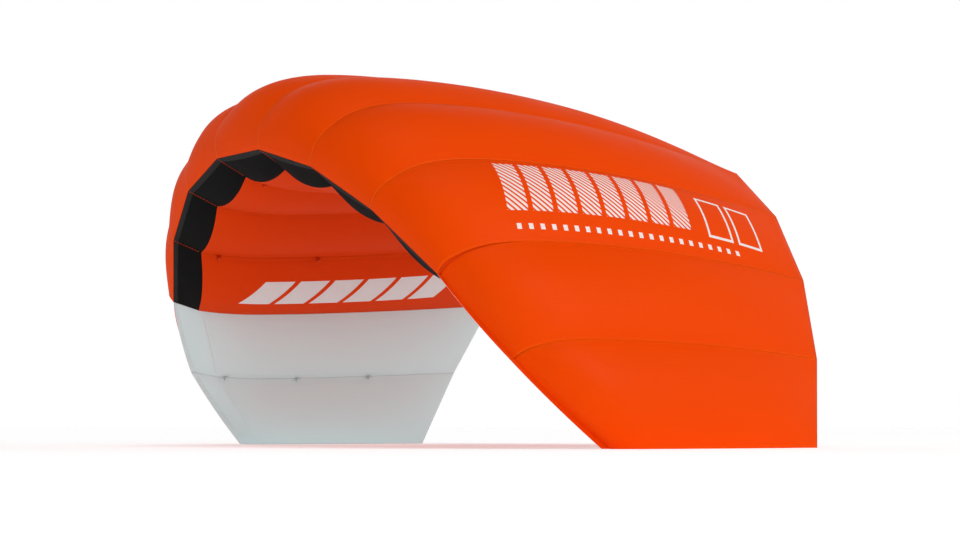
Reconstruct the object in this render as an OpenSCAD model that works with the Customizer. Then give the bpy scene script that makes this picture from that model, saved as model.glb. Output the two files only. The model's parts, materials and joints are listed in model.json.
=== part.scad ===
// Ram-air foil kite canopy in its flown arc, standing on its two tip ribs.
// X runs along the span, Y from the leading edge to the trailing edge, and Z is up.
// Ribs are numbered 1 to 12 and cells 1 to 11, both from the +X tip.

/* [Arc] */
// Width of each of the eleven cells, along the arc
cell_w = 192; // [150:1:240]
// How far the arc turns for each cell away from the middle one, in degrees
cell_turn = 16.5; // [10:0.5:17]
// How much of that turn is lost, in degrees for each cell squared
turn_loss = 0.62; // [0.3:0.01:0.8]

/* [Plan form] */
// Chord at the middle of the span
mid_chord = 1140; // [900:5:1500]
// Sweep of the leading edge over the whole half span
nose_sweep = 332; // [150:2:350]
// Extra sweep of the leading edge close to the tip
tip_sweep = 70; // [0:1:100]
// How far the trailing edge comes forward at the tip
tail_sweep = 200; // [100:1:230]

/* [Profile] */
// Height of the upper surface over the chord line at the middle, as a share of the chord
crown = 0.134; // [0.1:0.002:0.16]
// Share of that height that is lost at the tip
crown_loss = 0.5; // [0.3:0.02:0.7]
// Depth of the lower surface under the chord line, as a share of the chord
belly = 0.051; // [0.03:0.001:0.07]
// Height of the trailing edge over the lip at the middle, as a share of the chord
tail_rise = 0.055; // [0:0.001:0.06]
// Place of the greatest height, as a share of the chord behind the lip
thick_at = 0.21; // [0.18:0.01:0.3]
// How far the nose stands ahead of the lip, as a share of the chord
nose_bulge = 0.005; // [0:0.001:0.012]

/* [Cloth] */
// Thickness of the upper and lower panels and the screens
cloth_t = 0.5; // [0.4:0.1:0.8]
// Thickness of each rib
rib_t = 1; // [0.8:0.1:1.2]
// How far an inflated panel stands proud in the middle of its cell
billow = 24; // [5:1:28]

/* [Intakes] */
// Aft edge of the intake screens at the ribs, as a share of the chord
intake_end = 0.06; // [0.04:0.005:0.08]
// How much further aft that edge reaches in the middle of a cell
scallop = 0.003; // [0:0.001:0.03]

/* [Cross ports] */
// Places of the holes in each inner rib, as shares of the chord
port_at = [0.17, 0.31, 0.46, 0.61];
// Radius of a hole, as a share of the rib's height there
port_share = 0.22; // [0.1:0.01:0.3]

/* [Bridle tabs] */
// Places of the tape loops along the lower seam, as shares of the chord
tab_at = [0.1, 0.36, 0.64];
// Radius of the eye that a bridle line goes through
eye_r = 2.5; // [2:0.1:3.5]
// Thickness of the tape around the eye
tape_t = 1.1; // [0.8:0.1:1.5]
// Width of the tape, which is the length of the eye
tape_w = 8; // [6:0.5:12]
// Distance from the seam down to the middle of the eye
tab_drop = 10; // [9:0.5:14]
// How far the tape's ends reach up the rib
tab_sewn = 9; // [6:1:12]

/* [Hidden] */
rib_total = 12;
cell_total = 11;
tip_step = 5;
half_cells = 5.5;
mid_cell = 6;
screen_cells = [3, 4, 5, 6, 7, 8, 9];
closed_cells = [1, 2, 10, 11];
tab_ribs = [2, 4, 6, 7, 9, 11];
nose_power = 2.6;
upper_power = 1.75;
lower_power = 1.5;
tip_power = 8;
tail_power = 1.7;
seam_gap = 1;
tail_gap = 0.015;
lip_gap = 0.04;
upper_steps = 14;
lower_steps = 8;
nose_steps = 2;
side_steps = 6;
upper_outline = 22;
lower_outline = 14;

orange = "#F34C00";
deep_orange = "#C4300A";
pale_grey = "#C6C6C6";
screen_black = "#1B1B1B";

function two(n) = n < 10 ? str("0", n) : str(n);
function total(list, i = 0) = i < len(list) ? list[i] + total(list, i + 1) : 0;

// Places along the span. A rib's step is 0 beside the middle cell and 5 at a tip.
function side(r) = r <= mid_cell ? 1 : -1;
function step(r) = r <= mid_cell ? mid_cell - r : r - mid_cell - 1;
function share(i) = (i + 0.5) / half_cells;
function tilt(i) = cell_turn * i - turn_loss * i * i;
function lean(i) = i == tip_step ? 90 : (tilt(i) + tilt(i + 1)) / 2;
function arc_x(i) = cell_w / 2 + total([for (k = [1:1:i]) cell_w * cos(tilt(k))]);
function arc_z(i) = rib_t / 2 + total([for (k = [i + 1:1:tip_step]) cell_w * sin(tilt(k))]);

// Plan form, each value in terms of a rib's step
function sweep(i) = nose_sweep * pow(share(i), 2) + tip_sweep * pow(share(i), tip_power);
function chord(i) = mid_chord - sweep(i) - tail_sweep * pow(share(i), tail_power);
function nose_y(i) = sweep(i) - sweep(0);
function rise(i) = tail_rise * (1 - pow(share(i), 2));
function top(i) = crown * (1 - crown_loss * pow(share(i), 2));

// Profile, as [y, height] from the lip, in shares of the chord, for s from 0 at the lip to 1
function fall(s, power) = 1 - pow((s - thick_at) / (1 - thick_at), power);
function upper_h(s) = s < thick_at
    ? pow(1 - pow(1 - s / thick_at, nose_power), 1 / nose_power) : fall(s, upper_power);
function lower_h(s) = s < intake_end ? s / intake_end * lower_h(intake_end)
    : s < thick_at ? sqrt(1 - pow(1 - s / thick_at, 2)) : fall(s, lower_power);
function upper_at(i, s) =
    [s - nose_bulge * sin(180 * min(1, upper_h(s) * 1.6)), rise(i) * s + top(i) * upper_h(s)];
function lower_at(i, s) = [s, rise(i) * s - belly * lower_h(s)];

function profile(upper, i, s) = upper ? upper_at(i, s) : lower_at(i, s);

// Unit normal of the profile in its own plane, pointing out of the cell
function normal(upper, i, s) =
    let (d = 0.002, a = max(0, s - d), b = min(1, s + d))
    let (q = profile(upper, i, b) - profile(upper, i, a), n = q / norm(q))
    upper ? [-n[1], n[0]] : [n[1], -n[0]];

// The billow is nothing at the seams, the lip and the trailing edge
function swell(upper, s, v) = let (front = upper ? 60 : 22, aft = upper ? 5 : 6)
    billow * 4 * v * (1 - v) * (1 - pow(1 - s, front)) * (1 - pow(s, aft));

// The nose stands furthest ahead in the middle cell, so this centres the canopy on Y
front_y = min([for (k = [1:upper_steps]) let (s = pow(k / upper_steps, 2))
    chord(0) * upper_at(0, s)[0] + swell(true, s, 0.5) * normal(true, 0, s)[0]]);
mid_y = (front_y + chord(0)) / 2;

// From a profile point in mm to the place on rib r
function place(r, p) = let (i = step(r), a = lean(i))
    [side(r) * (arc_x(i) + p[1] * sin(a)), nose_y(i) - mid_y + p[0], arc_z(i) + p[1] * cos(a)];
function cell_tilt(c) = tilt(abs(mid_cell - c));
function cell_side(c) = c <= mid_cell ? 1 : -1;

// Point of a skin at s along the chord and v across cell c, moved by off mm along its normal
function skin(upper, c, s, v, off) =
    let (i = step(c), j = step(c + 1), t = cell_tilt(c), n = normal(upper, min(i, j), s))
    let (p = place(c, profile(upper, i, s) * chord(i)))
    let (q = place(c + 1, profile(upper, j, s) * chord(j)))
    let (out = off + swell(upper, s, v))
    p * (1 - v) + q * v
        + out * [cell_side(c) * n[1] * sin(t), n[0], n[1] * cos(t)];

function across(j) = let (g = seam_gap / cell_w) g + (1 - 2 * g) * j / side_steps;
function intake_edge(v) = intake_end + scallop * 4 * v * (1 - v);

// Closed sheet between two grids of points, over and under, row by row
module sheet(over, under) {
    rows = len(over) - 1;
    cols = len(over[0]) - 1;
    w = cols + 1;
    k = (rows + 1) * w;
    points = concat([for (row = over) each row], [for (row = under) each row]);
    skins = [for (i = [0:rows - 1], j = [0:cols - 1])
        let (a = i * w + j, b = a + w, c = b + 1, d = a + 1)
        each [[a, d, c], [a, c, b], [a + k, b + k, c + k], [a + k, c + k, d + k]]];
    ends = [for (j = [0:cols - 1]) let (a = j, b = rows * w + j)
        each [[a + 1, a, a + k], [a + 1, a + k, a + 1 + k],
              [b, b + 1, b + 1 + k], [b, b + 1 + k, b + k]]];
    sides = [for (i = [0:rows - 1]) let (a = i * w, d = a + cols)
        each [[a, a + w, a + w + k], [a, a + w + k, a + k],
              [d + w, d, d + k], [d + w, d + k, d + w + k]]];
    polyhedron(points, concat(skins, ends, sides));
}

// Outline of a rib in its own plane, lip at the origin
function outline(i) = chord(i) * concat(
    [for (k = [0:upper_outline]) upper_at(i, pow(k / upper_outline, 2))],
    [for (k = [lower_outline - 1:-1:1])
        lower_at(i, intake_end + (1 - intake_end) * pow((k - 1) / (lower_outline - 1), 1.5))]
);

// Puts children drawn in a rib's plane, with X aft and Y outwards, on rib r
module on_rib(r) {
    translate(place(r, [0, 0]))
        rotate([0, side(r) * lean(step(r)), 0])
            rotate([90, 0, 90])
                children();
}

module rib(r) {
    i = step(r);
    color(deep_orange) on_rib(r) linear_extrude(rib_t, center = true) difference() {
        polygon(outline(i));
        if (i < tip_step) for (s = port_at) port(i, s);
    }
}

// One round hole that lets air pass from cell to cell
module port(i, s) {
    high = upper_at(i, s)[1] * chord(i);
    low = lower_at(i, s)[1] * chord(i);
    translate([s * chord(i), (high + low) / 2]) circle(r = (high - low) * port_share, $fn = 48);
}

module upper_panel(c) {
    color(orange) sheet(
        [for (k = [0:upper_steps]) [for (j = [0:side_steps])
            skin(true, c, pow(k / upper_steps, 2), across(j), 0)]],
        [for (k = [0:upper_steps]) [for (j = [0:side_steps])
            skin(true, c, pow(k / upper_steps, 2), across(j), -cloth_t)]]
    );
}

// Share of the chord at row k of a lower panel, from the intake's edge to the tail
function lower_s(k, v) =
    let (start = intake_edge(v) + 0.002, f = k / lower_steps) start + (1 - tail_gap - start) * f;

module lower_panel(c) {
    is_grey = len(search(c, closed_cells)) > 0;
    color(is_grey ? pale_grey : deep_orange) sheet(
        [for (k = [0:lower_steps]) [for (j = [0:side_steps])
            skin(false, c, lower_s(k, across(j)), across(j), -cloth_t)]],
        [for (k = [0:lower_steps]) [for (j = [0:side_steps])
            skin(false, c, lower_s(k, across(j)), across(j), 0)]]
    );
}

// The strip of nose between the lip and the lower panel: a screen, or closed cloth at the tips
module nose_strip(c) {
    sheet(
        [for (k = [0:nose_steps]) [for (j = [0:side_steps])
            skin(false, c, nose_s(k, across(j)), across(j), -cloth_t)]],
        [for (k = [0:nose_steps]) [for (j = [0:side_steps])
            skin(false, c, nose_s(k, across(j)), across(j), 0)]]
    );
}

function nose_s(k, v) = intake_edge(v) * (lip_gap + (1 - lip_gap) * k / nose_steps);

module intake_screen(c) color(screen_black) nose_strip(c);

module nose_panel(c) color(pale_grey) nose_strip(c);

// Tape loops sewn to the lower edge of rib r, one for each row of the bridle
module bridle_tabs(r) {
    i = step(r);
    color(i > 2 ? pale_grey : deep_orange) for (s = tab_at) {
        p = lower_at(i, s) * chord(i);
        translate(place(r, [p[0], p[1] - tab_drop]))
            rotate([0, side(r) * lean(i), 0])
                tape_loop();
    }
}

module tape_loop() {
    difference() {
        union() {
            rotate([90, 0, 0]) cylinder(h = tape_w, r = eye_r + tape_t, center = true, $fn = 48);
            translate([-rib_t / 2 - 0.2, -tape_w / 2, 0])
                cube([rib_t + 0.4, tape_w, tab_drop + tab_sewn]);
        }
        rotate([90, 0, 0]) cylinder(h = tape_w + 2, r = eye_r, center = true, $fn = 48);
    }
}

for (r = [1:rib_total])
    rib(r);
for (c = [1:cell_total])
    upper_panel(c);
for (c = [1:cell_total])
    lower_panel(c);
for (c = screen_cells)
    intake_screen(c);
for (c = closed_cells)
    nose_panel(c);
for (r = tab_ribs)
    bridle_tabs(r);
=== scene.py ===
"""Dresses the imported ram-air canopy in sewn ripstop, screen mesh and tape.

Every length is in metres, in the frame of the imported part: X along the span, Y from the leading
edge to the trailing edge, and Z up. Ribs are numbered from the +X tip, and cell c lies between
ribs c and c + 1.
"""

import json  # noqa: E402
import logging  # noqa: E402
import math  # noqa: E402
from dataclasses import dataclass, field  # noqa: E402
from enum import Enum  # noqa: E402
from typing import Any  # noqa: E402

import bpy  # noqa: E402
import numpy as np  # noqa: E402
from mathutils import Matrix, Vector  # noqa: E402
from mathutils.geometry import delaunay_2d_cdt  # noqa: E402

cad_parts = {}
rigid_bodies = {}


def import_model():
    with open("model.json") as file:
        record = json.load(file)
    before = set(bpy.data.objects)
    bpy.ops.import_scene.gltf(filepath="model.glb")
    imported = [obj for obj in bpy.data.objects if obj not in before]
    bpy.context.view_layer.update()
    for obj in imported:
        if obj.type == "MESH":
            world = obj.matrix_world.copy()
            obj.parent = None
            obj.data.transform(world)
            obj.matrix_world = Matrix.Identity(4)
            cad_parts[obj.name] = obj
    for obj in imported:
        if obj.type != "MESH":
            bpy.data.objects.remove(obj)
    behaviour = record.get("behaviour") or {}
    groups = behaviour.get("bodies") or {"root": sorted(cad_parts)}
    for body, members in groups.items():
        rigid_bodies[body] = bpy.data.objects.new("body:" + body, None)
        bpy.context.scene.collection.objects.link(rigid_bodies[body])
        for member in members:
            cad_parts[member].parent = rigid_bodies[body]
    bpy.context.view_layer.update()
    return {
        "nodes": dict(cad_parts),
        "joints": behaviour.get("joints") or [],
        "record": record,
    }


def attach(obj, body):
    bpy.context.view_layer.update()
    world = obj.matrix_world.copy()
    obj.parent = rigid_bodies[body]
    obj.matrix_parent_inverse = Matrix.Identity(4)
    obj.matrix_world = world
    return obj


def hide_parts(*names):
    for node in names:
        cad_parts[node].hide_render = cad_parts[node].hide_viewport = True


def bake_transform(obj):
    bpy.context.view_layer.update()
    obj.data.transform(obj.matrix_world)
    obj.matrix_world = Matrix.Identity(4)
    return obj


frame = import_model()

log = logging.getLogger("canopy")

Array = np.ndarray
Pair = tuple[float, float]
Material = bpy.types.Material
Mesh = bpy.types.Mesh
Node = bpy.types.Node
Object = bpy.types.Object
Socket = bpy.types.NodeSocket
World = bpy.types.World
Source = Node | Socket
Settings = dict[str | int, Any]
Links = dict[str | int, Source]

MM = 0.001
AFT = np.array([0.0, 1.0, 0.0])
# Points along a rib's edge, where the whole edge is followed
EDGE_POINTS = 90
# Inputs of a Map Range node, in the order of their values
LIMITS = ("From Min", "From Max", "To Min", "To Max")
# Where a soft line fades, as shares of its width
LINE_FADE = (0.35, 0.65)


class Skin(Enum):
    """Side of the canopy that a sheet belongs to."""

    UPPER = "upper"
    LOWER = "lower"


# ----------------------------------------------------------------------------- materials


def linear(hex_colour: str) -> tuple[float, float, float, float]:
    """Turns an sRGB colour into the linear values that shaders take.

    Args:
        hex_colour: Six hex digits after a hash sign.

    Returns:
        Red, green, blue and an alpha of 1.
    """
    parts = [int(hex_colour[i : i + 2], 16) / 255 for i in (1, 3, 5)]
    red, green, blue = (c / 12.92 if c <= 0.04045 else ((c + 0.055) / 1.055) ** 2.4 for c in parts)
    return red, green, blue, 1.0


class Shader:
    """Node tree of a material or a world, with short ways to add to it."""

    def __init__(self, owner: Material | World) -> None:
        """Empties the owner's node tree.

        Args:
            owner: Material or world that gets the nodes.
        """
        owner.use_nodes = True
        self.owner = owner
        self.tree = owner.node_tree
        self.tree.nodes.clear()

    def add(self, kind: str, settings: Settings | None = None, links: Links | None = None) -> Node:
        """Adds a node with its settings and links.

        Args:
            kind: Blender's name of the node, without ShaderNode.
            settings: Values of its properties, and of its inputs by name or number.
            links: What to join to its inputs, by name or number. It is a socket, or a node that
                gives its first output in use.

        Returns:
            The new node.
        """
        made = self.tree.nodes.new("ShaderNode" + kind)
        for key, value in (settings or {}).items():
            if isinstance(key, str) and hasattr(made, key):
                setattr(made, key, value)
            else:
                made.inputs[key].default_value = value
        for key, source in (links or {}).items():
            if isinstance(source, Node):
                source = next(socket for socket in source.outputs if socket.enabled)
            self.tree.links.new(source, made.inputs[key])
        return made

    def lines(self, along: Source, pitch: float, width: float) -> Node:
        """Draws evenly spaced soft lines across a coordinate.

        Args:
            along: Coordinate in metres.
            pitch: Distance from line to line.
            width: Width of a line.

        Returns:
            A mask, 1 on the lines and 0 between them.
        """
        swing = self.add("Math", {"operation": "PINGPONG", 1: pitch / 2}, {0: along})
        fade = (*(width * share for share in LINE_FADE), 1.0, 0.0)
        return self.add("MapRange", dict(zip(LIMITS, fade)), {"Value": swing})

    def layers(self, base: str, over: list[tuple[Source, str]]) -> Node:
        """Lays colours over a base colour, one after the other.

        Args:
            base: Colour beneath, as sRGB.
            over: For each layer how much of it shows, and its colour as sRGB.

        Returns:
            The mixed colour.
        """
        settings: Settings = {"data_type": "RGBA", 6: linear(base)}
        mixed: Links = {}
        for share, colour in over:
            settings[7] = linear(colour)
            mixed = {6: self.add("Mix", settings, {0: share, **mixed})}
        return mixed[6]

    def cloth_map(self, title: str) -> tuple[Socket, Socket, Socket]:
        """Reads a coordinate of the cloth.

        Args:
            title: Name of the UV layer.

        Returns:
            The coordinate, and its places across and along the cloth.
        """
        whole = self.add("UVMap", {"uv_map": title}).outputs[0]
        across, along, _ = self.add("SeparateXYZ", {}, {0: whole}).outputs
        return whole, across, along

    def surface(
        self, settings: Settings, links: Links, relief: Source | None = None, depth: float = MM
    ) -> Material:
        """Ends a material with its shader.

        Args:
            settings: Uniform values of the shader.
            links: What to join to the shader.
            relief: Height of the surface, as a share of the depth.
            depth: Height that a relief of 1 stands for.

        Returns:
            The material.
        """
        if relief is not None:
            bump = self.add("Bump", {"Strength": 1.0, "Distance": depth}, {"Height": relief})
            links = {**links, "Normal": bump}
        shader = self.add("BsdfPrincipled", settings, links)
        self.add("OutputMaterial", {}, {"Surface": shader})
        return self.owner


@dataclass(frozen=True)
class Blocks:
    """Row of slanted blocks that are part of a screen print.

    The sizes are in the print's own plane, across the span and along the chord. A real hatch of
    this kind has lines 7 mm apart, measured square to them. At 11 mm they show.
    """

    span: Pair
    chord: Pair
    count: int
    gap_share: float
    slant: float = 0.0
    outline: float = 1.0
    hatch_pitch: float = 0.0
    hatch_gap_share: float = 0.45

    def mask(self, shader: Shader, across: Socket, along: Socket) -> Node:
        """Draws the blocks.

        Args:
            shader: Shader of the cloth.
            across: Place across the span.
            along: Place along the chord.

        Returns:
            A mask, 1 where there is ink.
        """
        add = shader.add
        first, last = self.chord
        pitch = (last - first) / self.count
        start = first + self.slant * sum(self.span) / 2
        tilted = add("Math", {"operation": "MULTIPLY_ADD", 1: self.slant}, {0: across, 2: along})
        column = add("Math", {"operation": "SUBTRACT", 1: start}, {0: tilted})
        phase = add("Math", {"operation": "MODULO", 1: pitch}, {0: column})
        # How far inside a block a place is: the least of its distances to the block's edges
        inside = add("Math", {"operation": "SUBTRACT", 1: self.span[0]}, {0: across})
        edges = [column, phase] + [
            add("Math", {"operation": "SUBTRACT", 0: end}, {1: place_at})
            for end, place_at in (
                (self.span[1], across),
                (last - first, column),
                (pitch * (1 - self.gap_share), phase),
            )
        ]
        for edge in edges:
            inside = add("Math", {"operation": "MINIMUM"}, {0: inside, 1: edge})
        past = add("Math", {"operation": "GREATER_THAN", 1: 0.0}, {0: inside})
        within = add("Math", {"operation": "LESS_THAN", 1: self.outline}, {0: inside})
        ink = add("Math", {"operation": "MULTIPLY"}, {0: past, 1: within})
        if not self.hatch_pitch:
            return ink
        diagonal = add("Math", {"operation": "SUBTRACT"}, {0: along, 1: across})
        gaps = shader.lines(diagonal, self.hatch_pitch, self.hatch_pitch * self.hatch_gap_share)
        cover = add("Math", {"operation": "SUBTRACT", 0: 1.0}, {1: gaps})
        return add("Math", {"operation": "MULTIPLY"}, {0: ink, 1: cover})


@dataclass(frozen=True)
class ScreenPrint:
    """Ink laid on the cloth through a stencil.

    It fills the weave a little, so it looks flat and even beside the cloth.
    """

    ink: str
    parts: tuple[Blocks, ...]

    def mask(self, shader: Shader) -> Node:
        """Draws every part of the print.

        Args:
            shader: Shader of the cloth.

        Returns:
            A mask, 1 where there is ink.
        """
        _, across, along = shader.cloth_map("print")
        masks = [part.mask(shader, across, along) for part in self.parts]
        whole = masks[0]
        for mask in masks[1:]:
            whole = shader.add("Math", {"operation": "MAXIMUM"}, {0: whole, 1: mask})
        return whole


@dataclass(frozen=True)
class CoatedRipstop:
    """Ripstop nylon, woven and coated on the inside.

    The coating gives the cloth a soft, even gloss, the thicker threads of the ripstop grid stand
    just proud of it, and rows of stitches run along its seams.
    """

    name: str
    colour: str
    thread: str
    grid: str
    edge: str
    roughness: float = 0.5
    roughness_change: Pair = (-0.04, 0.06)
    # Real ripstop threads are 5 mm apart. At 10 mm they show as a grid and don't flicker.
    grid_pitch: float = 10 * MM
    # A real ripstop thread is 0.3 mm wide, drawn coarser so that it shows.
    grid_width: float = 1.2 * MM
    grid_height: float = 0.05 * MM
    grid_tint: float = 0.16
    crinkle_size: float = 45 * MM
    crinkle_height: float = 0.16 * MM
    patch_size: float = 200 * MM
    patch_range: Pair = (0.3, 0.7)
    patch_tint: float = 0.10
    # Real stitches are 3 mm long and 0.4 mm thick, drawn coarser so that they show.
    stitch_pitch: float = 6 * MM
    stitch_share: float = 0.65
    stitch_width: float = 1.4 * MM
    stitch_fade: Pair = (0.3, 0.6)
    stitch_height: float = 0.10 * MM
    stitch_tint: float = 0.08
    stitch_row: float = 6 * MM
    hem_row: float = 11 * MM
    turned_edge: Pair = (1 * MM, 7 * MM)
    edge_tint: float = 0.24
    ink: ScreenPrint | None = None

    def build(self) -> Material:
        """Makes the material.

        Returns:
            The material, which reads the sheets' weave coordinates and seam distances.
        """
        shader = Shader(bpy.data.materials.new(self.name))
        add = shader.add
        weave, across, along = shader.cloth_map("weave")
        seam, hem = (
            add("Attribute", {"attribute_name": title}).outputs["Fac"] for title in ("seam", "hem")
        )

        # Woven grid
        weft, warp = (
            shader.lines(way, self.grid_pitch, self.grid_width) for way in (across, along)
        )
        grid = add("Math", {"operation": "MAXIMUM"}, {0: weft, 1: warp})

        # One line of stitching beside each seam, and one along each hem
        seamed = self.stitching(shader, seam, self.stitch_row, along)
        hemmed = self.stitching(shader, hem, self.hem_row, across)
        stitches = add("Math", {"operation": "MAXIMUM"}, {0: seamed, 1: hemmed})

        # Soft crinkles, and broad patches where the dye and the coating vary
        crinkle, patch = (
            add(
                "TexNoise",
                {"noise_dimensions": "2D", "Scale": 1 / size, "Detail": detail},
                {"Vector": weave},
            )
            for size, detail in ((self.crinkle_size, 3.0), (self.patch_size, 2.0))
        )
        gloss = tuple(self.roughness + change for change in self.roughness_change)
        # The turned edge at a seam is two layers thick, so it looks a shade lighter
        faded, rough, turned = (
            add("MapRange", dict(zip(LIMITS, (*start, *end))), {"Value": value})
            for value, start, end in (
                (patch, self.patch_range, (0.0, self.patch_tint)),
                (patch, self.patch_range, gloss),
                (seam, self.turned_edge, (self.edge_tint, 0.0)),
            )
        )
        threads, sewn = (
            add("Math", {"operation": "MULTIPLY", 1: tint}, {0: mask})
            for mask, tint in ((grid, self.grid_tint), (stitches, self.stitch_tint))
        )
        layers = [(faded, self.grid), (threads, self.grid), (turned, self.edge)]
        if self.ink:
            layers.append((self.ink.mask(shader), self.ink.ink))
        cloth = shader.layers(self.colour, [*layers, (sewn, self.thread)])

        # Heights in millimetres
        height = add("Math", {"operation": "MULTIPLY", 1: self.crinkle_height / MM}, {0: crinkle})
        for raised, size in ((grid, self.grid_height), (stitches, self.stitch_height)):
            adding = {"operation": "MULTIPLY_ADD", 1: size / MM}
            height = add("Math", adding, {0: raised, 2: height})
        return shader.surface(
            {"IOR": 1.53, "Specular IOR Level": 0.02},
            {"Base Color": cloth, "Roughness": rough},
            height,
        )

    def stitching(self, shader: Shader, distance: Socket, at: float, along: Socket) -> Node:
        """Draws a dashed line at one distance from an edge.

        Args:
            shader: Shader to draw in.
            distance: Distance from the edge.
            at: Distance of the line.
            along: Place along the line.

        Returns:
            A mask, 1 on the stitches.
        """
        off = shader.add("Math", {"operation": "SUBTRACT", 1: at}, {0: distance})
        off = shader.add("Math", {"operation": "ABSOLUTE"}, {0: off})
        fade = (*(self.stitch_width * share for share in self.stitch_fade), 1.0, 0.0)
        row = shader.add("MapRange", dict(zip(LIMITS, fade)), {"Value": off})
        dash = shader.lines(along, self.stitch_pitch, self.stitch_pitch * self.stitch_share)
        return shader.add("Math", {"operation": "MULTIPLY"}, {0: row, 1: dash})


@dataclass(frozen=True)
class ScreenMesh:
    """Polyester mesh, knitted and dyed black.

    Its open holes swallow the light, so it looks nearly black, with a faint diagonal grain.
    """

    name: str = "black_polyester_mesh_knitted"
    thread: str = "#181818"
    hole: str = "#0A0A0A"
    # Real mesh has threads 1 mm apart. At 5 mm they show as a grain.
    pitch: float = 5 * MM
    thread_share: float = 0.5
    relief: float = 0.12 * MM
    roughness: float = 0.7

    def build(self) -> Material:
        """Makes the material.

        Returns:
            The material, which reads the sheets' weave coordinates.
        """
        shader = Shader(bpy.data.materials.new(self.name))
        _, across, along = shader.cloth_map("weave")
        one, other = (
            shader.lines(
                shader.add("Math", {"operation": how}, {0: across, 1: along}),
                self.pitch,
                self.pitch * self.thread_share,
            )
            for how in ("ADD", "SUBTRACT")
        )
        knit = shader.add("Math", {"operation": "MAXIMUM"}, {0: one, 1: other})
        return shader.surface(
            {"Roughness": self.roughness, "IOR": 1.57, "Specular IOR Level": 0.02},
            {"Base Color": shader.layers(self.hole, [(knit, self.thread)])},
            knit,
            self.relief,
        )


@dataclass(frozen=True)
class WovenTape:
    """Narrow polyester tape, woven in a twill.

    The diagonal ribs of the twill stand a little proud and look a shade lighter.
    """

    name: str
    colour: str
    rib: str
    # Real twill ribs are 0.7 mm apart. At 2 mm they show.
    pitch: float = 2 * MM
    rib_share: float = 0.55
    relief: float = 0.1 * MM
    roughness: float = 0.65

    def build(self) -> Material:
        """Makes the material.

        Returns:
            The material, which reads object coordinates.
        """
        shader = Shader(bpy.data.materials.new(self.name))
        spot = shader.add("TexCoord").outputs["Object"]
        x, y, z = shader.add("SeparateXYZ", {}, {0: spot}).outputs
        diagonal = shader.add("Math", {"operation": "ADD"}, {0: x, 1: y})
        diagonal = shader.add("Math", {"operation": "ADD"}, {0: diagonal, 1: z})
        twill = shader.lines(diagonal, self.pitch, self.pitch * self.rib_share)
        return shader.surface(
            {"Roughness": self.roughness, "IOR": 1.57, "Specular IOR Level": 0.06},
            {"Base Color": shader.layers(self.colour, [(twill, self.rib)])},
            twill,
            self.relief,
        )


@dataclass(frozen=True)
class LightTable:
    """Studio floor of white acrylic, lit evenly from below.

    It throws light up under the arch and takes a soft, weak shadow.
    """

    name: str = "white_acrylic_backlit"
    colour: str = "#F8F8F8"
    glow: float = 0.345

    def build(self) -> Material:
        """Makes the material.

        Returns:
            The material.
        """
        settings = {
            "Base Color": linear(self.colour),
            "Roughness": 1.0,
            "Specular IOR Level": 0.0,
            "Emission Color": linear("#FFFFFF"),
            "Emission Strength": self.glow,
        }
        return Shader(bpy.data.materials.new(self.name)).surface(settings, {})


# ------------------------------------------------------------------------------ geometry


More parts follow.
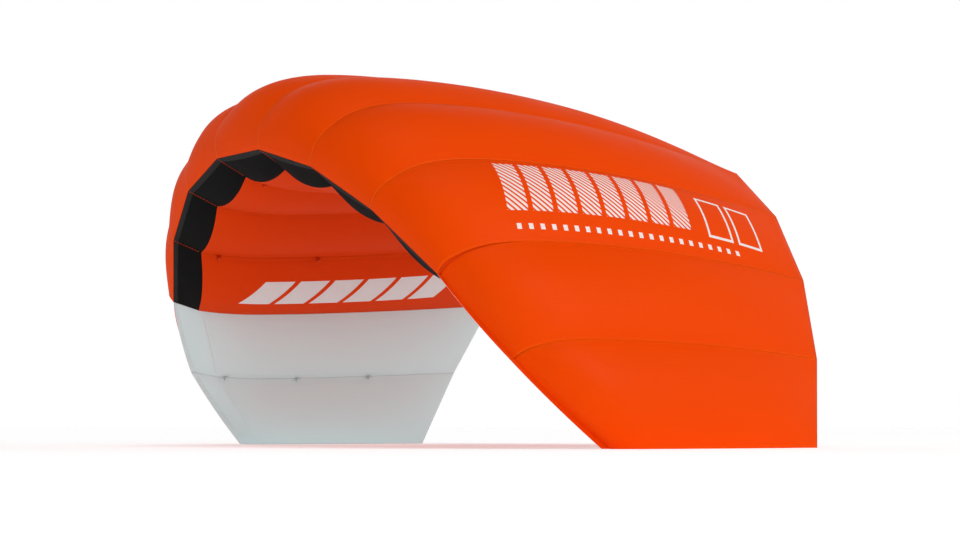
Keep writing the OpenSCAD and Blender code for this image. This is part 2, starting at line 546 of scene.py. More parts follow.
@dataclass(frozen=True)
class Profile:
    """Aerofoil that all ribs share, in shares of the chord.

    A place along it runs from 0 at the lip to 1 at the tail. Where the nose is closed by a flat
    hem, the hem runs from -1 at its free edge to 0.
    """

    crown: float = 0.134
    crown_loss: float = 0.5
    belly: float = 0.051
    tail_rise: float = 0.055
    thick_at: float = 0.21
    nose_bulge: float = 0.005
    nose_power: float = 2.6
    upper_power: float = 1.75
    lower_power: float = 1.5
    intake_end: float = 0.06
    # Steps along an upper edge in the part's source
    outline_steps: int = 22

    def height(self, skin: Skin, s: Array) -> Array:
        """Gives the fullness of a skin, 1 at its furthest from the chord line.

        Args:
            skin: Upper or lower.
            s: Places along the profile.

        Returns:
            The fullness at each place.
        """
        upper = skin is Skin.UPPER
        power = self.nose_power if upper else 2.0
        s = np.maximum(s, 0)
        front = np.clip(s / self.thick_at, 0, 1)
        aft = np.clip((s - self.thick_at) / (1 - self.thick_at), 0, 1)
        rising = (1 - (1 - front) ** power) ** (1 / power)
        falling = 1 - aft ** (self.upper_power if upper else self.lower_power)
        full = np.where(s < self.thick_at, rising, falling)
        if upper:
            return full
        mouth = math.sqrt(1 - (1 - self.intake_end / self.thick_at) ** 2)
        return np.where(s < self.intake_end, s / self.intake_end * mouth, full)

    def outline(self, skin: Skin, s: Array, share: float, hem: float = 0.0) -> Array:
        """Gives points of a rib's edge.

        Args:
            skin: Upper or lower.
            s: Places along the profile.
            share: How far out the rib stands, from 0 in the middle to 1 at the tip.
            hem: Width of the flat hem at a closed nose.

        Returns:
            Points as distance aft of the lip and height over it, in shares of the chord.
        """
        full = self.height(skin, s)
        aft = np.where(s < 0, hem * (1 + s), hem + (1 - hem) * s)
        line = self.tail_rise * (1 - share**2) * aft
        if skin is Skin.LOWER:
            return np.stack([aft, line - self.belly * full], -1)
        bulge = self.nose_bulge * np.sin(math.pi * np.minimum(1, full * 1.6))
        rise = self.crown * (1 - self.crown_loss * share**2) * full
        return np.stack([aft - bulge * (hem == 0), line + rise], -1)

    def normal(self, skin: Skin, s: Array, share: float, hem: float = 0.0) -> Array:
        """Gives the outward direction square to a rib's edge.

        Args:
            skin: Upper or lower.
            s: Places along the profile.
            share: How far out the rib stands.
            hem: Width of the flat hem at a closed nose.

        Returns:
            Unit vectors, aft and up.
        """
        step = 0.002
        low = np.maximum(-1 if hem else 0, s - step)
        way = self.outline(skin, np.minimum(1, s + step), share, hem)
        way = way - self.outline(skin, low, share, hem)
        way /= np.linalg.norm(way, axis=-1, keepdims=True)
        out = np.stack([-way[..., 1], way[..., 0]], -1)
        return out if skin is Skin.UPPER else -out

    def foremost(self) -> float:
        """Gives how far the nose stands ahead of the lip, below zero."""
        samples = (np.arange(self.outline_steps + 1) / self.outline_steps) ** 2
        return float(self.outline(Skin.UPPER, samples, 0.0)[:, 0].min())


@dataclass(frozen=True)
class Nose:
    """How the sewn nose of a closed cell departs from the plain profile at one rib."""

    hem: float = 0.0
    droop: float = 0.0
    advance: float = 0.0


@dataclass(frozen=True)
class Rib:
    """Place and size of one rib, read from its node in the frame."""

    number: int
    side: int
    step: int
    share: float
    lip: Array
    chord: float
    up: Array
    profile: Profile
    nose: Nose
    fade_end: float = 0.12

    @classmethod
    def read(cls, number: int, total: int, profile: Profile, noses: tuple[Nose, ...]) -> "Rib":
        """Reads a rib from the frame.

        Args:
            number: Number of the rib, from 1 at the +X tip.
            total: How many ribs the canopy has.
            profile: Aerofoil of the ribs.
            noses: Noses of the outermost ribs, from the tip inwards.

        Returns:
            The rib's place and size.
        """
        mesh = frame["nodes"][f"rib_{number:02d}"].data
        points = np.array([v.co for v in mesh.vertices], float)
        half = total // 2
        side = 1 if number <= half else -1
        step = half - number if side > 0 else number - half - 1
        share = (step + 0.5) / (half - 0.5)
        tail_y = points[:, 1].max()
        chord = (tail_y - points[:, 1].min()) / (1 - profile.foremost())
        tail = points[points[:, 1] > tail_y - 1e-5].mean(0)
        flat = points[:, [0, 2]] - points[:, [0, 2]].mean(0)
        way = np.linalg.svd(flat, full_matrices=False)[2][0]
        up = np.array([way[0], 0.0, way[1]])
        up *= np.sign(up @ np.array([side, 0.0, 1.0]))
        lift = profile.outline(Skin.UPPER, np.array([1.0]), share)[0, 1]
        lip = tail - lift * chord * up - chord * AFT
        from_tip = half - 1 - step
        nose = noses[from_tip] if from_tip < len(noses) else Nose()
        return cls(number, side, step, share, lip, float(chord), up, profile, nose)

    @property
    def node(self) -> str:
        """Name of the rib's CAD node."""
        return f"rib_{self.number:02d}"

    @property
    def body(self) -> str:
        """Name of the rib's body."""
        bodies = frame["record"]["behaviour"]["bodies"]
        return next(name for name, nodes in bodies.items() if self.node in nodes)

    def hem(self, closed: bool) -> float:
        """Gives the width of the nose's hem, as a share of the chord.

        Args:
            closed: Whether the cell has a closed nose.
        """
        return self.nose.hem / self.chord if closed else 0.0

    def edge(self, skin: Skin, s: Array, closed: bool) -> Array:
        """Gives points of one edge of the rib.

        Args:
            skin: Upper or lower.
            s: Places along the profile.
            closed: Whether the cell that asks has a closed nose.

        Returns:
            Points in the frame.
        """
        flat = self.profile.outline(skin, s, self.share, self.hem(closed)) * self.chord
        fade = np.clip(1 - s / self.fade_end, 0, 1) ** 2
        aft = flat[..., 0] - self.nose.advance * fade
        up = flat[..., 1] - self.nose.droop * fade
        return self.lip + aft[..., None] * AFT + up[..., None] * self.up


@dataclass
class Sheet:
    """Closed thin sheet between an outer and an inner grid of points."""

    name: str
    outer: Array
    inner: Array
    flip: bool
    weave: Array
    marks: Array
    seam: Array
    hem: Array

    def build(self, material: Material) -> Object:
        """Makes the sheet's object.

        Args:
            material: Finish of both faces.

        Returns:
            The object.
        """
        rows, cols = self.outer.shape[:2]
        half = rows * cols
        index = np.arange(half).reshape(rows, cols)
        a, b = index[:-1, :-1].ravel(), index[1:, :-1].ravel()
        c, d = index[1:, 1:].ravel(), index[:-1, 1:].ravel()
        over = np.stack([a, b, c, d], -1)
        under = np.stack([d, c, b, a], -1) + half
        rims = [
            self.rim(index[0, 1:], index[0, :-1], half),
            self.rim(index[-1, :-1], index[-1, 1:], half),
            self.rim(index[:-1, 0], index[1:, 0], half),
            self.rim(index[1:, -1], index[:-1, -1], half),
        ]
        faces = np.concatenate([over, under, *rims])
        if self.flip:
            faces = faces[:, ::-1]
        points = np.concatenate([self.outer.reshape(-1, 3), self.inner.reshape(-1, 3)])
        mesh = bpy.data.meshes.new(self.name)
        mesh.from_pydata(points.tolist(), [], faces.tolist())
        smooth = np.arange(len(faces)) < 2 * len(over)
        mesh.polygons.foreach_set("use_smooth", smooth)
        dress(
            mesh,
            {
                "weave": np.concatenate([self.weave.reshape(-1, 2)] * 2),
                "print": np.concatenate([self.marks.reshape(-1, 2)] * 2),
            },
            {
                "seam": np.concatenate([self.seam.ravel()] * 2),
                "hem": np.concatenate([self.hem.ravel()] * 2),
            },
        )
        return place(self.name, mesh, material)

    def rim(self, start: Array, end: Array, half: int) -> Array:
        """Joins one border of the two grids.

        Args:
            start: Outer points where the border's edges start, as the outer faces run.
            end: Outer points where they end.
            half: Number of points in one grid.

        Returns:
            Faces of four points each.
        """
        return np.stack([end, start, start + half, end + half], -1)

    def flat(self) -> tuple[float, float]:
        """Gives the width and length of the cloth that the sheet is cut from."""
        across = np.linalg.norm(np.diff(self.outer, axis=1), axis=-1).sum(1)
        along = np.linalg.norm(np.diff(self.outer, axis=0), axis=-1).sum(0)
        return float(across.max()), float(along.max())


def dress(mesh: Mesh, maps: dict[str, Array], values: dict[str, Array]) -> None:
    """Gives a mesh its cloth coordinates.

    Args:
        mesh: The mesh.
        maps: UV layers, as a pair of values for each point.
        values: Attributes, as a value for each point.
    """
    corners = np.zeros(len(mesh.loops), np.int32)
    mesh.loops.foreach_get("vertex_index", corners)
    for title, pairs in maps.items():
        layer = mesh.uv_layers.new(name=title)
        layer.data.foreach_set("uv", pairs[corners].astype(np.float32).ravel())
    for title, numbers in values.items():
        kept = mesh.attributes.new(title, "FLOAT", "POINT")
        kept.data.foreach_set("value", numbers.astype(np.float32))


def place(name: str, mesh: Mesh, material: Material) -> Object:
    """Puts a mesh in the scene.

    Args:
        name: Name of the object.
        mesh: Its mesh.
        material: Its finish.

    Returns:
        The object.
    """
    mesh.materials.append(material)
    mesh.update()
    made = bpy.data.objects.new(name, mesh)
    bpy.context.scene.collection.objects.link(made)
    return made


@dataclass
class Cell:
    """One inflated cell between two ribs, with its place in the joint tree."""

    number: int
    ribs: tuple[Rib, Rib]
    middle: int
    billow: float = 24 * MM
    bow: float = 5 * MM
    stiff: float = 0.08
    cloth: float = 0.4 * MM
    # How sharply the swelling starts at the lip and ends at the tail
    ends: tuple[tuple[int, int], tuple[int, int]] = ((60, 5), (22, 6))
    # Where the lip's doubled cloth ends and where the tail thins out, in shares of the chord
    lip_end: float = 0.01
    tail_end: float = 0.02
    tail_share: float = 0.1
    clearance: float = 0.5 * MM
    body: str = ""
    parent: str = ""
    closed: bool = False
    out: Array = field(default_factory=lambda: np.zeros(3))

    def __post_init__(self) -> None:
        """Works out the cell's body, its kind of nose and the direction that it faces."""
        self.body = f"cell_{self.number:02d}"
        self.closed = f"nose_panel_{self.number:02d}" in frame["nodes"]
        held = [j["parent"] for j in frame["joints"] if j["child"] == self.body]
        self.parent = held[0] if held else ""
        way = self.ribs[0].lip - self.ribs[1].lip
        self.out = np.array([-way[2], 0.0, way[0]]) / math.hypot(way[0], way[2])

    @property
    def inner(self) -> Rib:
        """The rib nearer the middle of the canopy."""
        return self.ribs[1] if self.number <= self.middle else self.ribs[0]

    @property
    def outer(self) -> Rib:
        """The rib nearer the tip."""
        return self.ribs[0] if self.number <= self.middle else self.ribs[1]

    @property
    def start(self) -> float:
        """Where the cell's cloth starts on the profile."""
        return -1.0 if self.closed else 0.0

    def arch(self, v: Array) -> Array:
        """Gives the height of the arch from rib to rib, 1 in the middle of the cell.

        Close to a seam it turns level, because the doubled cloth there is too stiff to fold.

        Args:
            v: Places across the cell.
        """
        near = np.clip(np.minimum(v, 1 - v) / self.stiff, 0, 1)
        return 4 * v * (1 - v) * near * (2 - near)

    def swell(self, skin: Skin, s: Array, v: Array) -> Array:
        """Gives how far the inflated cloth stands off the straight line from rib to rib.

        Args:
            skin: Upper or lower.
            s: Places along the profile.
            v: Places across the cell.

        Returns:
            The height at each place.
        """
        front, aft = self.ends[skin is Skin.LOWER]
        s = np.maximum(s, 0)
        ends = (1 - (1 - s) ** front) * (1 - s**aft)
        return self.billow * self.arch(v) * ends

    def surface(self, skin: Skin, s: Array, v: Array, off: float | Array = 0.0) -> Array:
        """Gives points of the inflated cloth.

        Args:
            skin: Upper or lower.
            s: Places along the profile.
            v: Places across the cell, from its +X rib.
            off: Distance outwards from the cloth's outer face.

        Returns:
            Points in the frame.
        """
        first = self.ribs[0].edge(skin, s, self.closed)
        second = self.ribs[1].edge(skin, s, self.closed)
        rib = self.inner
        facing = rib.profile.normal(skin, s, rib.share, rib.hem(self.closed))
        facing = facing[..., :1] * AFT + facing[..., 1:] * self.out
        away = (self.swell(skin, s, v) + off)[..., None]
        points = first * (1 - v[..., None]) + second * v[..., None] + away * facing
        if self.closed:
            fade = np.clip(1 - s / rib.fade_end, 0, 1) ** 2
            points = points - (self.bow * 4 * v * (1 - v) * fade)[..., None] * AFT
        return points

    def sheet(self, name: str, skin: Skin, s: Array, v: Array, lift: float = 0.0) -> Sheet:
        """Lays a sheet of cloth over part of the cell.

        Args:
            name: Name of the piece.
            skin: Upper or lower.
            s: Places along the profile, row by row.
            v: Places across the cell, row by row.
            lift: How far the sheet lies proud of the canopy's own cloth.

        Returns:
            The sheet with its coordinates.
        """
        # The two skins lie flat on each other in a hem, and thin out to one edge at the tail
        layer = self.cloth * np.clip(1 - s / self.lip_end, 0, 1) if self.closed else 0.0
        thick = self.cloth * np.clip((1 - s) / self.tail_end, self.tail_share, 1)
        flat = self.surface(skin, s, v, 0.0)
        ends = [rib.edge(skin, s, self.closed) for rib in self.ribs]
        wide = np.linalg.norm(ends[0] - ends[1], axis=-1)
        steps = np.linalg.norm(np.diff(flat, axis=0), axis=-1)
        along = np.concatenate([np.zeros((1, s.shape[1])), np.cumsum(steps, 0)])
        way = self.ribs[0].lip - self.ribs[1].lip
        span = (self.middle - self.number + 0.5 - v) * math.hypot(way[0], way[2])
        return Sheet(
            name,
            self.surface(skin, s, v, lift + layer),
            self.surface(skin, s, v, lift + layer - thick),
            skin is Skin.LOWER,
            np.stack([(v - 0.5) * wide, along], -1),
            np.stack([span, flat[..., 1]], -1),
            np.minimum(v, 1 - v) * wide,
            np.minimum(along, along[-1:] - along),
        )

    def attach(self, piece: Object) -> None:
        """Attaches a piece to this cell's body when no joint holds the cell, and otherwise bakes
        the piece's transform.

        Args:
            piece: Piece with its final mesh.
        """
        if not self.parent:
            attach(piece, self.body)
            return
        way = (self.outer.lip - self.inner.lip) * np.array([1.0, 0.0, 1.0])
        length = float(np.linalg.norm(way))
        way /= length
        s = np.linspace(self.start, 1, EDGE_POINTS)
        near = [self.inner.edge(k, s, self.closed) - self.inner.lip for k in Skin]
        far = [self.outer.edge(k, s, self.closed) - self.outer.lip for k in Skin]
        self.body
        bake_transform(piece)


@dataclass
class RibCloth:
    """Rib cut from one layer of cloth, with round ports that let the air across."""

    rib: Rib
    tip: bool
    port_at: tuple[float, ...] = (0.17, 0.31, 0.46, 0.61)
    port_share: float = 0.22
    port_points: int = 48
    thick: float = 0.5 * MM
    tip_thick: float = 1.0 * MM
    inset: float = 0.8 * MM

    def loops(self) -> list[Array]:
        """Draws the rib's outline and its ports.

        Returns:
            Closed loops of points, aft and up, in metres.
        """
        rib, profile = self.rib, self.rib.profile
        closed = rib.nose.hem > 0 and rib.nose.droop > 0
        t = np.linspace(0, 1, EDGE_POINTS)
        edges = [
            rib.edge(Skin.UPPER, t**2, closed),
            rib.edge(Skin.LOWER, np.flip(t)[1:-1] ** 1.5, closed),
        ]
        points = np.concatenate(edges) - rib.lip
        outline = np.stack([points @ AFT, points @ rib.up], -1)
        along = np.roll(outline, -1, 0) - np.roll(outline, 1, 0)
        along /= np.linalg.norm(along, axis=-1, keepdims=True)
        inwards = np.stack([along[:, 1], -along[:, 0]], -1)
        loops = [outline + inwards * self.inset]
        turn = np.linspace(0, 2 * math.pi, self.port_points, endpoint=False)
        ring = np.stack([np.cos(turn), np.sin(turn)], -1)
        for at in () if self.tip else self.port_at:
            place_at = np.array([at])
            top, bottom = (profile.outline(k, place_at, rib.share)[0, 1] * rib.chord for k in Skin)
            centre = np.array([at * rib.chord, (top + bottom) / 2])
            loops.append(centre + ring * (top - bottom) * self.port_share)
        return loops

    def in_port(self, point: Array, ports: list[Array]) -> bool:
        """Tells whether a point of a rib lies in one of its ports.

        Args:
            point: Point, aft and up.
            ports: Round loops.

        Returns:
            True if it lies in one of them.
        """
        for port in ports:
            centre = port.mean(0)
            if np.linalg.norm(point - centre) < np.linalg.norm(port[0] - centre):
                return True
        return False

    def build(self, material: Material) -> None:
        """Cuts the rib and hands it to the frame.

        Args:
            material: Finish of its cloth.
        """
        rib = self.rib
        loops = self.loops()
        edges, first = [], 0
        for loop in loops:
            ring = np.arange(len(loop)) + first
            edges += np.stack([ring, np.roll(ring, -1)], -1).tolist()
            first += len(loop)
        points = [Vector(p) for p in np.concatenate(loops)]
        flat, _, faces, *_ = delaunay_2d_cdt(points, edges, [], 1, 1e-7)
        flat = np.array(flat)
        tris = [list(f) for f in faces if not self.in_port(flat[list(f)].mean(0), loops[1:])]
        count = len(flat)
        side_way = np.cross(AFT, rib.up)
        mid = rib.lip + flat[:, :1] * AFT + flat[:, 1:] * rib.up
        half = (self.tip_thick if self.tip else self.thick) / 2
        solid = np.concatenate([mid + side_way * half, mid - side_way * half])
        sides = {(a, b) for f in tris for a, b in zip(f, f[1:] + f[:1])}
        back = [[i + count for i in reversed(f)] for f in tris]
        rims = [[b, a, a + count, b + count] for a, b in sides if (b, a) not in sides]
        name = f"rib_cloth_{rib.number:02d}"
        mesh = bpy.data.meshes.new(name)
        mesh.from_pydata(solid.tolist(), [], tris + back + rims)
        clear = np.full(2 * count, 1.0)
        dress(mesh, {"weave": np.concatenate([flat, flat])}, {"seam": clear, "hem": clear})
        piece = place(name, mesh, material)
        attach(piece, rib.body)
        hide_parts(rib.node)
        corner, one, other = (flat[[f[i] for f in tris]] for i in range(3))
        one, other = one - corner, other - corner
        float(np.ptp(flat[:, 1]))
        float(np.ptp(flat[:, 0]))
        log.info("%s: chord %.0f mm, %d ports", name, rib.chord / MM, len(loops) - 1)


def tubes(name: str, runs: list[tuple[Array, Array]], material: Material, soft: bool) -> Object:
    """Sweeps closed sections along paths, and closes both ends of each.

    Args:
        name: Name of the piece.
        runs: For each tube the points of its path, and the section's offsets at each point.
        material: Finish of the piece.
        soft: Whether the sides are shaded as round.

    Returns:
        One object with all the tubes.
    """
    points, faces, first = [], [], 0
    for path, rings in runs:
        count = rings.shape[1]
        points.append((path[:, None] + rings).reshape(-1, 3))
        last = first + (len(path) - 1) * count
        for start in range(first, last, count):
            for i in range(count):
                a, b = start + i, start + (i + 1) % count
                faces.append([a, b, b + count, a + count])
        faces.append([first + i for i in reversed(range(count))])
        faces.append([last + i for i in range(count)])
        first = last + count
    mesh = bpy.data.meshes.new(name)
    mesh.from_pydata(np.concatenate(points).tolist(), [], faces)
    if soft:
        mesh.polygons.foreach_set("use_smooth", [len(f) == 4 for f in faces])
    return place(name, mesh, material)


@dataclass
class TapeLoops:
    """Loops of tape, sewn along a rib's lower seam, that bridle lines tie to."""

    rib: Rib
    eye_radius: float = 2.6 * MM
    tape: float = 0.9 * MM
    width: float = 8 * MM
    drop: float = 10 * MM
    sewn_in: float = 1 * MM
    bend_points: int = 25
    leg_share: float = 0.55

    @property
    def node(self) -> str:
        """Name of the loops' CAD node."""
        return f"bridle_tabs_{self.rib.number:02d}"

    def build(self, material: Material) -> None:
        """Makes the loops and hands them to the frame.

        Args:
            material: Finish of the tape.
        """
        rib = self.rib
        eyes = [
            np.array(m["pos_m"])
            for m in frame["record"]["mounts"]
            if m["name"].startswith(f"{rib.node}_row")
        ]
        side_way = np.cross(AFT, rib.up)
        radius = self.eye_radius + self.tape / 2
        lean = math.asin(radius / self.drop)
        turn = np.linspace(-lean, math.pi + lean, self.bend_points)
        arc = np.stack([np.cos(turn), -np.sin(turn)], -1) * radius
        gap = self.tape * self.leg_share
        top = self.drop + self.sewn_in
        line = np.concatenate([[[gap, top]], arc, [[-gap, top]]])
        along = np.gradient(line, axis=0)
        along /= np.linalg.norm(along, axis=-1, keepdims=True)
        across = np.stack([along[:, 1], -along[:, 0]], -1) * self.tape / 2
        runs = []
        for eye in eyes:
            path = eye + line[:, :1] * side_way + line[:, 1:] * rib.up
            thick = across[:, :1] * side_way + across[:, 1:] * rib.up
            wide = np.broadcast_to(AFT * self.width / 2, thick.shape)
            section = np.stack([thick + wide, thick - wide, -thick - wide, -thick + wide], 1)
            runs.append((path, section))
        name = f"tape_loops_{rib.number:02d}"
        piece = tubes(name, runs, material, False)
        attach(piece, rib.body)
        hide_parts(self.node)
        log.info("%s: %d loops", name, len(eyes))


@dataclass
class SeamStitches:
    """Row of thread stitches along a rib between two screens."""

    rib: Rib
    pitch: float = 7 * MM
    stitch: float = 5 * MM
    radius: float = 0.7 * MM
    proud: float = 0.5 * MM
    first_at: float = 0.002
    rings: int = 7
    sides: int = 8
    end_share: float = 0.08

    def build(self, material: Material) -> None:
        """Makes the stitches.

        Args:
            material: Finish of the thread.
        """
        rib = self.rib
        s = np.linspace(self.first_at, rib.profile.intake_end, 200)
        line = rib.edge(Skin.LOWER, s, False)
        flat = rib.profile.normal(Skin.LOWER, s, rib.share)
        facing = flat[:, :1] * AFT + flat[:, 1:] * rib.up
        line = line + facing * self.proud
        steps = np.linalg.norm(np.diff(line, axis=0), axis=-1)
        length = np.concatenate([[0.0], np.cumsum(steps)])
        count = int((length[-1] - self.stitch) / self.pitch) + 1
        turn = np.linspace(0, 2 * math.pi, self.sides + 1)[:-1]
        side_way = np.cross(AFT, rib.up)
        runs = []
        for i in range(count):
            t = np.linspace(0, 1, self.rings)
            at = i * self.pitch + t * self.stitch
            path = np.stack([np.interp(at, length, line[:, k]) for k in range(3)], -1)
            face = np.stack([np.interp(at, length, facing[:, k]) for k in range(3)], -1)
            size = self.radius * np.sqrt(np.clip(1 - (2 * t - 1) ** 4, self.end_share, 1))
            ring = (
                np.cos(turn)[None, :, None] * face[:, None]
                + np.sin(turn)[None, :, None] * side_way
            ) * size[:, None, None]
            runs.append((path, ring))
        name = f"mouth_stitches_{rib.number:02d}"
        piece = tubes(name, runs, material, True)
        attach(piece, rib.body)
        log.info("%s: %d stitches", name, count)


@dataclass
class Canopy:
    """The whole canopy: its skins, screens, ribs and bridle loops."""

    profile: Profile = field(default_factory=Profile)
    noses: tuple[Nose, ...] = (
        Nose(19 * MM, 12 * MM, 0.0),
        Nose(13 * MM, 7 * MM, 3 * MM),
        Nose(7 * MM),
    )
    rows: int = 120
    hem_rows: int = 8
    columns: int = 28
    scallop: float = 0.003
    binding: float = 11 * MM
    binding_lift: float = 0.45 * MM
    crowding: float = 0.06
    ribs: list[Rib] = field(default_factory=list)
    cells: list[Cell] = field(default_factory=list)

    def __post_init__(self) -> None:
        """Reads the ribs from the frame and puts the cells between them."""
        total = sum(name.startswith("rib_") for name in frame["nodes"])
        self.ribs = [Rib.read(n + 1, total, self.profile, self.noses) for n in range(total)]
        pairs = zip(self.ribs, self.ribs[1:])
        self.cells = [Cell(n + 1, pair, total // 2) for n, pair in enumerate(pairs)]

    def grid(self, rows: int, hem: bool) -> tuple[Array, Array]:
        """Makes the places of a sheet's points.

        Args:
            rows: Steps along the sheet, without its hem.
            hem: Whether the sheet starts with a hem, which runs from -1 to 0.

        Returns:
            Rows of places along and across, from 0 to 1.
        """
        along = np.linspace(0, 1, rows + 1)
        if hem:
            along = np.concatenate([np.linspace(-1, 0, self.hem_rows + 1)[:-1], along])
        across = np.linspace(0, 1, self.columns + 1)
        # Closer together at the seams, where the cloth curves most
        across -= self.crowding * np.sin(2 * math.pi * across)
        return np.meshgrid(along, across, indexing="ij")

    def mouth(self, v: Array) -> Array:
        """Gives where the nose strip ends, for places across a cell."""
        return self.profile.intake_end + self.scallop * 4 * v * (1 - v)

    def upper(self, cell: Cell, material: Material) -> None:
        """Sews a cell's upper panel.

        Args:
            cell: The cell.
            material: Finish of the cloth.
        """
        t, v = self.grid(self.rows, cell.closed)
        made = cell.sheet(f"upper_cloth_{cell.number:02d}", Skin.UPPER, np.where(t < 0, t, t**2), v)
        self.finish(made, cell, material, "upper_cloth", f"upper_panel_{cell.number:02d}")

    def lower(self, cell: Cell, material: Material, slot: str) -> None:
        """Sews a cell's lower panel.

        Args:
            cell: The cell.
            material: Finish of the cloth.
            slot: Record's slot of that finish.
        """
        t, v = self.grid(self.rows, False)
        front = self.mouth(v)
        name = f"lower_cloth_{cell.number:02d}"
        made = cell.sheet(name, Skin.LOWER, front + (1 - front) * t**1.3, v)
        self.finish(made, cell, material, slot, f"lower_panel_{cell.number:02d}")

    def nose(self, cell: Cell, material: Material, slot: str) -> None:
        """Sews the screen or the closed panel of a cell's nose.

        Args:
            cell: The cell.
            material: Finish of the strip.
            slot: Record's slot of that finish.
        """
        t, v = self.grid(self.rows // 4, cell.closed)
        name = "closed_nose" if cell.closed else "mouth_screen"
        node = "nose_panel" if cell.closed else "intake_screen"
        s = np.where(t < 0, t, self.mouth(v) * t)
        made = cell.sheet(f"{name}_{cell.number:02d}", Skin.LOWER, s, v)
        self.finish(made, cell, material, slot, f"{node}_{cell.number:02d}")

    def bind(self, cell: Cell, material: Material) -> None:
        """Sews a binding along the lip of a screen.

        Args:
            cell: The cell.
            material: Finish of the binding.
        """
        t, v = self.grid(self.rows // 12, False)
        reach = self.binding / cell.inner.chord
        name = f"lip_binding_{cell.number:02d}"
        made = cell.sheet(name, Skin.LOWER, reach * t, v, lift=self.binding_lift)
        self.finish(made, cell, material, "screen", "")

    def finish(self, made: Sheet, cell: Cell, material: Material, slot: str, node: str) -> None:
        """Hands a sheet to the frame.

        Args:
            made: The sheet.
            cell: Cell that it belongs to.
            material: Its finish.
            slot: Not used.
            node: CAD node that it stands for, if there is one.
        """
        piece = made.build(material)
        cell.attach(piece)
        if node:
            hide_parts(node)
        width, length = made.flat()
        [rib.node for rib in cell.ribs]
        log.info("%s: %.0f x %.0f mm of cloth", made.name, width / MM, length / MM)

    def build(self, finishes: dict[str, Material]) -> None:
        """Makes every piece of the canopy.

        Args:
            finishes: Materials by the record's slot, and of the smaller pieces.
        """
        for cell in self.cells:
            skin = "tip_cloth" if cell.closed else "lower_cloth"
            strip = "tip_cloth" if cell.closed else "screen"
            self.upper(cell, finishes["upper_cloth"])
            self.lower(cell, finishes[skin], skin)
            self.nose(cell, finishes[strip], strip)
            if not cell.closed:
                self.bind(cell, finishes["binding"])
        closed = {rib.number for cell in self.cells if cell.closed for rib in cell.ribs}
        for rib in self.ribs:
            tip = rib.number in (1, len(self.ribs))
            RibCloth(rib, tip).build(finishes["rib_cloth"])
            if TapeLoops(rib).node in frame["nodes"]:
                shade = "tip_tape" if rib.number in closed else "tape"
                TapeLoops(rib).build(finishes[shade])
        for first, second in zip(self.cells, self.cells[1:]):
            if not (first.closed or second.closed):
                SeamStitches(second.ribs[0]).build(finishes["tape"])


# --------------------------------------------------------------------------------- scene


def heading(bearing: float, height: float) -> Vector:
    """Gives a direction.

    Args:
        bearing: Degrees anticlockwise from +X, seen from above.
        height: Degrees above the floor.

    Returns:
        A unit vector.
    """
    turn, lift = math.radians(bearing), math.radians(height)
    flat = math.cos(lift)
    return Vector((math.cos(turn) * flat, math.sin(turn) * flat, math.sin(lift)))


@dataclass(frozen=True)
class Lamp:
    """Soft lamp that faces the canopy.

    The bearing runs anticlockwise from +X, seen from above. A lamp can be for gloss only: it
    lays a sheen on the cloth and leaves the rest of the light as it is.
    """

    name: str
    bearing: float
    height: float
    power: float
    distance: float = 8.0
    size: Pair = (0.0, 0.0)
    spread: float = 50.0
    gloss_only: bool = False

    def build(self) -> None:
        """Hangs the lamp, as a softbox if it has a size and as a wide sky lamp if not."""
        data = bpy.data.lights.new(self.name, "AREA" if self.size[0] else "SUN")
        data.energy = self.power
        if self.size[0]:
            data.shape = "RECTANGLE"
            data.size, data.size_y = self.size
        else:
            data.angle = math.radians(self.spread)
        lamp = bpy.data.objects.new(self.name, data)
        lamp.visible_diffuse = not self.gloss_only
        bpy.context.scene.collection.objects.link(lamp)
        away = heading(self.bearing, self.height)
        lamp.location = away * self.distance
        lamp.rotation_euler = away.to_track_quat("Z", "Y").to_euler()


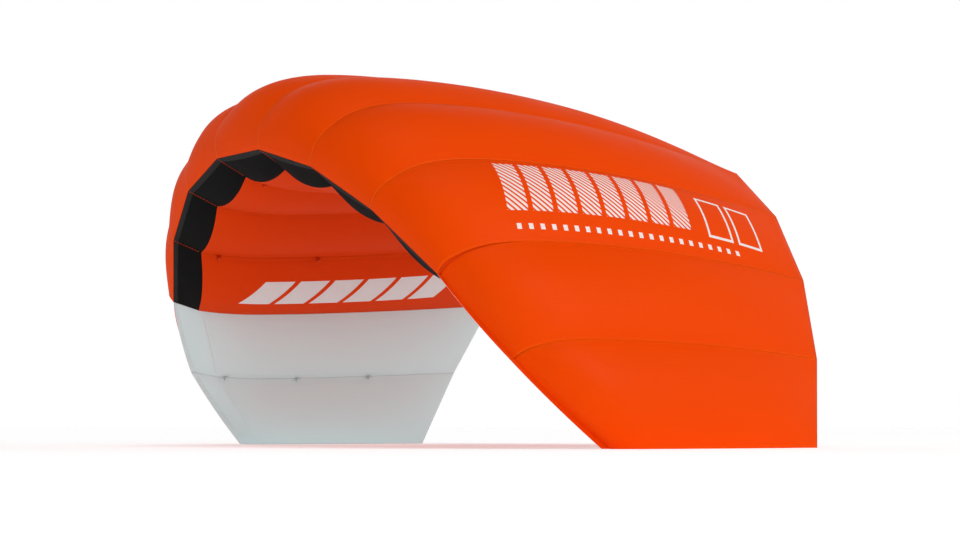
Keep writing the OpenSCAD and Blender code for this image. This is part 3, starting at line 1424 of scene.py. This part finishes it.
@dataclass
class Studio:
    """Floor, light and camera.

    White walls stand all round, with a black flag ahead of the nose, which keeps the front of the
    canopy darker than its sides.
    """

    floor_size: float = 120.0
    camera_at: tuple[float, float, float] = (4.2876, -2.7592, 0.0418)
    camera_bearing: float = 146.76
    camera_pitch: float = 3.96
    lens: float = 85.22
    walls: float = 1.0
    wall_top: Pair = (25.0, 50.0)
    flag_bearing: float = -97.5
    flag_edge: Pair = (22.5, 67.5)
    lamps: tuple[Lamp, ...] = (
        Lamp("softbox", -22.0, 10.0, 80.0, size=(6.5, 4.5)),
        Lamp("overhead", -33.0, 80.0, 1.27),
        Lamp("sheen", 14.0, 30.0, 450.0, size=(1.2, 1.2), gloss_only=True),
    )

    def build(self) -> None:
        """Sets up the studio."""
        self.floor()
        self.sky()
        for lamp in self.lamps:
            lamp.build()
        self.camera()
        bpy.context.scene.view_settings.view_transform = "Standard"
        bpy.context.scene.view_settings.look = "None"

    def floor(self) -> None:
        """Lays the floor that the tips stand on."""
        half = self.floor_size / 2
        mesh = bpy.data.meshes.new("floor")
        mesh.from_pydata(
            [(-half, -half, 0), (half, -half, 0), (half, half, 0), (-half, half, 0)],
            [],
            [(0, 1, 2, 3)],
        )
        place("floor", mesh, LightTable().build())

    def sky(self) -> None:
        """Lights the walls, from the floor up to a dark ceiling."""
        world = bpy.data.worlds.new("studio")
        shader = Shader(world)
        around = shader.add("TexCoord").outputs["Generated"]
        x, y, z = shader.add("SeparateXYZ", {}, {0: around}).outputs
        ends = tuple(math.sin(math.radians(e)) for e in self.wall_top)
        bearing = math.radians(self.flag_bearing)
        ahead = shader.add("Math", {"operation": "MULTIPLY", 1: math.sin(bearing)}, {0: y})
        turned = {"operation": "MULTIPLY_ADD", 1: math.cos(bearing)}
        ahead = shader.add("Math", turned, {0: x, 2: ahead})
        near, far = (math.cos(math.radians(e)) for e in self.flag_edge)
        wall, flag = (
            shader.add("MapRange", dict(zip(LIMITS, (*edge, 1.0, 0.0))), {"Value": value})
            for value, edge in ((z, ends), (ahead, (far, near)))
        )
        light = shader.add("Math", {"operation": "MULTIPLY"}, {0: wall, 1: flag})
        light = shader.add("Math", {"operation": "MULTIPLY", 1: self.walls}, {0: light})
        sky = shader.add("Background", {"Color": linear("#FFFFFF")}, {"Strength": light})
        shader.add("OutputWorld", {}, {"Surface": sky})
        bpy.context.scene.world = world

    def camera(self) -> None:
        """Sets the camera."""
        data = bpy.data.cameras.new("camera")
        data.lens = self.lens
        data.sensor_width = 36.0
        data.clip_end = 500.0
        camera = bpy.data.objects.new("camera", data)
        bpy.context.scene.collection.objects.link(camera)
        ahead = heading(self.camera_bearing, self.camera_pitch)
        camera.location = self.camera_at
        camera.rotation_euler = ahead.to_track_quat("-Z", "Y").to_euler()
        bpy.context.scene.camera = camera


def main() -> None:
    """Builds the canopy and the studio."""
    logging.basicConfig(level=logging.INFO, format="%(name)s: %(message)s")
    upper_print = ScreenPrint(
        "#F3EAE4",
        (
            Blocks((0.497, 0.618), (-0.290, 0.190), 8, 0.20, 0.2, hatch_pitch=15 * MM),
            Blocks((0.515, 0.625), (0.225, 0.405), 2, 0.18, 0.2, outline=6 * MM),
            Blocks((0.642, 0.652), (-0.290, 0.310), 22, 0.62),
        ),
    )
    lower_print = ScreenPrint(
        "#DADADA", (Blocks((-0.616, -0.540), (-0.280, 0.300), 6, 0.16, -0.6),)
    )
    finishes = {
        "upper_cloth": CoatedRipstop(
            "orange_ripstop_nylon_coated",
            "#F34700",
            "#C23A02",
            "#F95204",
            "#FE640E",
            ink=upper_print,
        ).build(),
        "lower_cloth": CoatedRipstop(
            "orange_red_ripstop_nylon_coated",
            "#D43C0A",
            "#9E2C06",
            "#DC480E",
            "#E4561A",
            ink=lower_print,
        ).build(),
        "tip_cloth": CoatedRipstop(
            "light_grey_ripstop_nylon_coated", "#CFDEDF", "#A4AEAF", "#D8E4E5", "#DEE9EA"
        ).build(),
        "rib_cloth": CoatedRipstop(
            "firm_ripstop_nylon_resin_finished", "#D43C0A", "#9E2C06", "#DC480E", "#E4561A"
        ).build(),
        "screen": ScreenMesh().build(),
        "binding": WovenTape("black_polyester_tape_woven", "#202020", "#262626").build(),
        "tape": WovenTape("orange_red_tape_woven", "#CC380C", "#D84A18").build(),
        "tip_tape": WovenTape("light_grey_tape_woven", "#CCD6D7", "#D8E2E3").build(),
    }
    Canopy().build(finishes)
    Studio().build()


if __name__ == "__main__":
    main()
